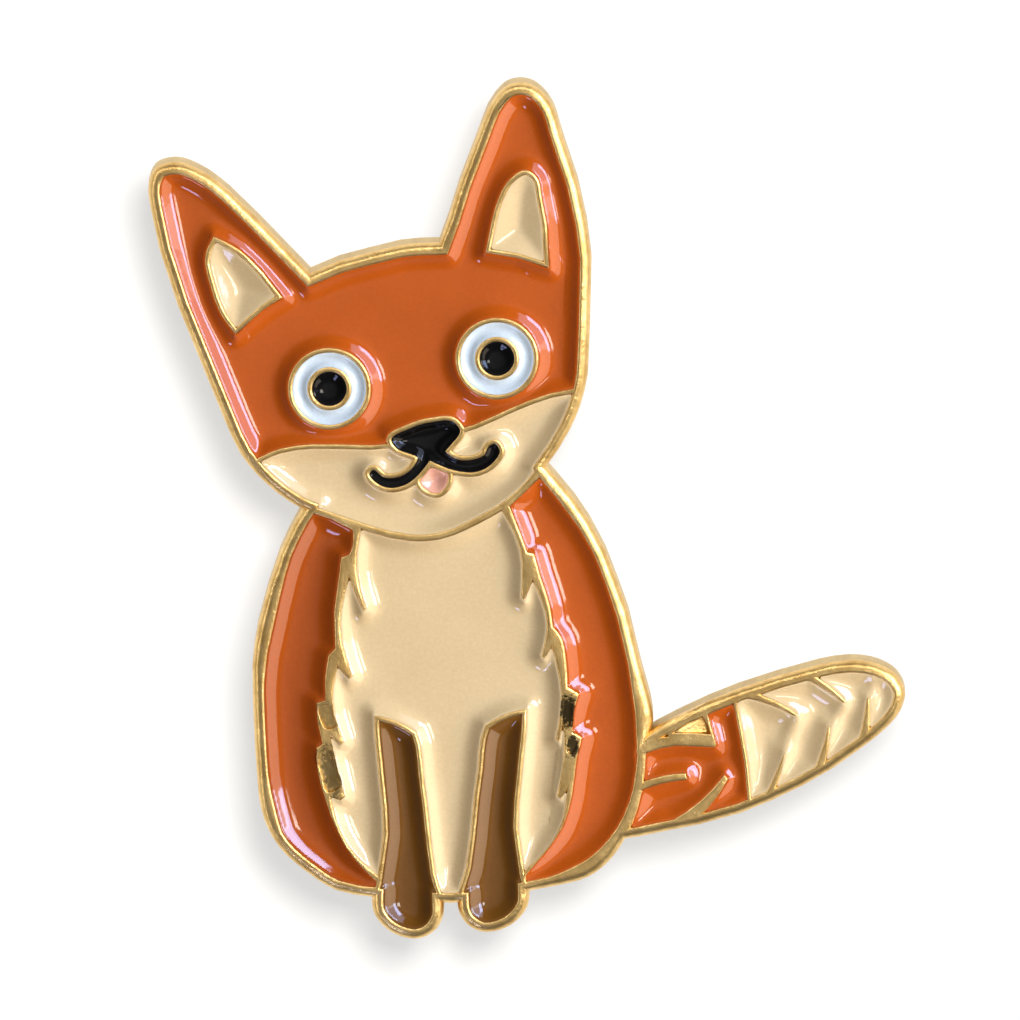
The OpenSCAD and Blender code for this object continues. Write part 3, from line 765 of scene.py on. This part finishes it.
def makeFloor():
    bpy.ops.object.select_all(action="DESELECT")
    bpy.ops.mesh.primitive_plane_add(size=floorLook["size"])
    floor = bpy.context.active_object
    floor.name = "floor"
    material = bpy.data.materials.new("paleFloor")
    material.use_nodes = True
    shader = material.node_tree.nodes["Principled BSDF"]
    shader.inputs["Base Color"].default_value = floorLook["colour"]
    shader.inputs["Roughness"].default_value = floorLook["roughness"]
    shader.inputs["Emission Color"].default_value = floorLook["glow"]
    shader.inputs["Emission Strength"].default_value = floorLook["strength"]
    floor.data.materials.append(material)
    floor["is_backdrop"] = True
    return floor


floor = makeFloor()

lighting = {
    "horizon": 0.45,         # the world's strength, and the heights between which it stays the same
    "horizonTo": 0.2,
    "middle": 0.2,
    "middleFrom": 0.38,
    "middleTo": 0.8,
    "zenith": 0.56,
    "zenithFrom": 0.93,
    "shade": 0.6,            # share of the world's light on the left
    "shadeWidth": 0.5,       # how far to each side it goes over into the full light
    "scale": 2,              # the curve holds half of each strength, as it ends at 1
}
lampWays = {
    # name: azimuth and elevation in degrees, distance, width and height, radiance, colour, what it lights
    "keyLight": (76, 72, 0.65, 0.11, 0.11, 120, (1, 0.98, 0.95), "floor"),
    "sideLight": (22, 38, 0.1, 0.09, 0.03, 3.6, (1, 0.97, 0.94), "pieces"),
    "glowLight": (0, 62, 0.6, 0.12, 0.12, 14, (1, 0.94, 0.84), "pieces"),
    "panelLight": (-22.5, 25, 0.6, 0.6, 0.44, 3.2, (1, 0.86, 0.68), "enamel"),
    "coolLight": (28.5, 25, 0.6, 0.57, 0.44, 3.4, (0.64, 0.75, 1), "enamel"),
    "rightLight": (3, 25, 0.6, 1.3, 0.3, 1.15, (1, 0.95, 0.88), "metal"),
    "leftLight": (180, 28, 0.6, 1, 0.1, 3.2, (1, 0.97, 0.92), "metal"),
    "topLight": (90, 42, 0.6, 1, 0.1, 5, (1, 0.97, 0.92), "metal"),
    "glintLight": (20, 44, 0.6, 0.42, 0.09, 18, (0.8, 0.87, 1), "metal"),
    "stripLight": (20, 44, 0.6, 0.42, 0.12, 18, (0.5, 0.62, 1), "enamel"),
    "lowLight": (-115, 38, 0.6, 0.1, 0.1, 12, (0.5, 0.55, 1), "pieces"),
}


def makeWorld():
    world = bpy.data.worlds.new("studio")
    bpy.context.scene.world = world
    world.use_nodes = True
    tree = world.node_tree
    background = tree.nodes["Background"]
    background.inputs["Color"].default_value = (1, 1, 1, 1)
    coords = addNode(tree, "ShaderNodeTexCoord")
    split = addNode(tree, "ShaderNodeSeparateXYZ")
    ramp = addNode(tree, "ShaderNodeFloatCurve")
    horizon, middle, zenith = (lighting[key] / lighting["scale"] for key in ("horizon", "middle", "zenith"))
    curve = ramp.mapping.curves[0]
    curve.points[0].location = (0, horizon)
    curve.points[1].location = (1, zenith)
    for key, strength in (
            ("horizonTo", horizon), ("middleFrom", middle), ("middleTo", middle), ("zenithFrom", zenith)):
        curve.points.new(lighting[key], strength)
    ramp.mapping.update()
    double = addNode(tree, "ShaderNodeMath", operation="MULTIPLY")
    double.inputs[1].default_value = lighting["scale"]
    side = addNode(
        tree, "ShaderNodeMapRange", interpolation_type="SMOOTHSTEP", From_Min=-lighting["shadeWidth"],
        From_Max=lighting["shadeWidth"], To_Min=lighting["shade"], To_Max=1)
    both = addNode(tree, "ShaderNodeMath", operation="MULTIPLY")
    tree.links.new(coords.outputs["Generated"], split.inputs[0])
    tree.links.new(split.outputs["Z"], ramp.inputs["Value"])
    tree.links.new(split.outputs["X"], side.inputs["Value"])
    tree.links.new(ramp.outputs["Value"], double.inputs[0])
    tree.links.new(double.outputs[0], both.inputs[0])
    tree.links.new(side.outputs["Result"], both.inputs[1])
    tree.links.new(both.outputs[0], background.inputs["Strength"])


def addAreaLight(name):
    azimuth, elevation, distance, width, height, radiance, colour, lit = lampWays[name]
    turn, rise = math.radians(azimuth), math.radians(elevation)
    direction = Vector((math.cos(turn) * math.cos(rise), math.sin(turn) * math.cos(rise), math.sin(rise)))
    light = bpy.data.lights.new(name, "AREA")
    light.shape = "RECTANGLE"
    light.size, light.size_y = width, height
    light.energy = radiance * math.pi * width * height
    light.color = colour
    lamp = bpy.data.objects.new(name, light)
    bpy.context.scene.collection.objects.link(lamp)
    lamp.location = Vector((0, 0, levels["face"])) + direction * distance
    lamp.rotation_euler = direction.to_track_quat("Z", "Y").to_euler()
    lamp.visible_camera = False
    lamp.light_linking.receiver_collection = litThings[lit]
    return lamp


makeWorld()
litThings = {name: bpy.data.collections.new(name) for name in ("floor", "pieces", "enamel", "metal")}
litThings["floor"].objects.link(floor)
litThings["metal"].objects.link(goldPlate)
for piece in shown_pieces():
    litThings["pieces"].objects.link(piece)
    if piece != goldPlate:
        litThings["enamel"].objects.link(piece)
lamps = {name: addAreaLight(name) for name in lampWays}
lamps["sideLight"].visible_glossy = False    # it only fills the shadows

cameraView = {
    "tilt": 11.0,            # degrees towards the top of the figure
    "lens": 800.0,
    "sensor": 36.0,
    "pixel": 0.0441 * mm,    # what one pixel takes in at the face
    "pixels": 1020,
    "middle": (-0.772 * mm, 0.162 * mm),
    "nearest": 0.01,
    "farthest": 10,
}


def makeCamera():
    data = bpy.data.cameras.new("camera")
    camera = bpy.data.objects.new("camera", data)
    bpy.context.scene.collection.objects.link(camera)
    data.lens = cameraView["lens"]
    data.sensor_width = cameraView["sensor"]
    data.clip_start = cameraView["nearest"]
    data.clip_end = cameraView["farthest"]
    tilt = math.radians(cameraView["tilt"])
    distance = cameraView["pixel"] * cameraView["pixels"] * data.lens / data.sensor_width
    target = Vector((*cameraView["middle"], levels["face"]))
    camera.location = target + Vector((0, math.sin(tilt), math.cos(tilt))) * distance
    camera.rotation_euler = (-tilt, 0, 0)
    bpy.context.scene.camera = camera


makeCamera()
bpy.context.scene.view_settings.view_transform = "Standard"
print("stage set")
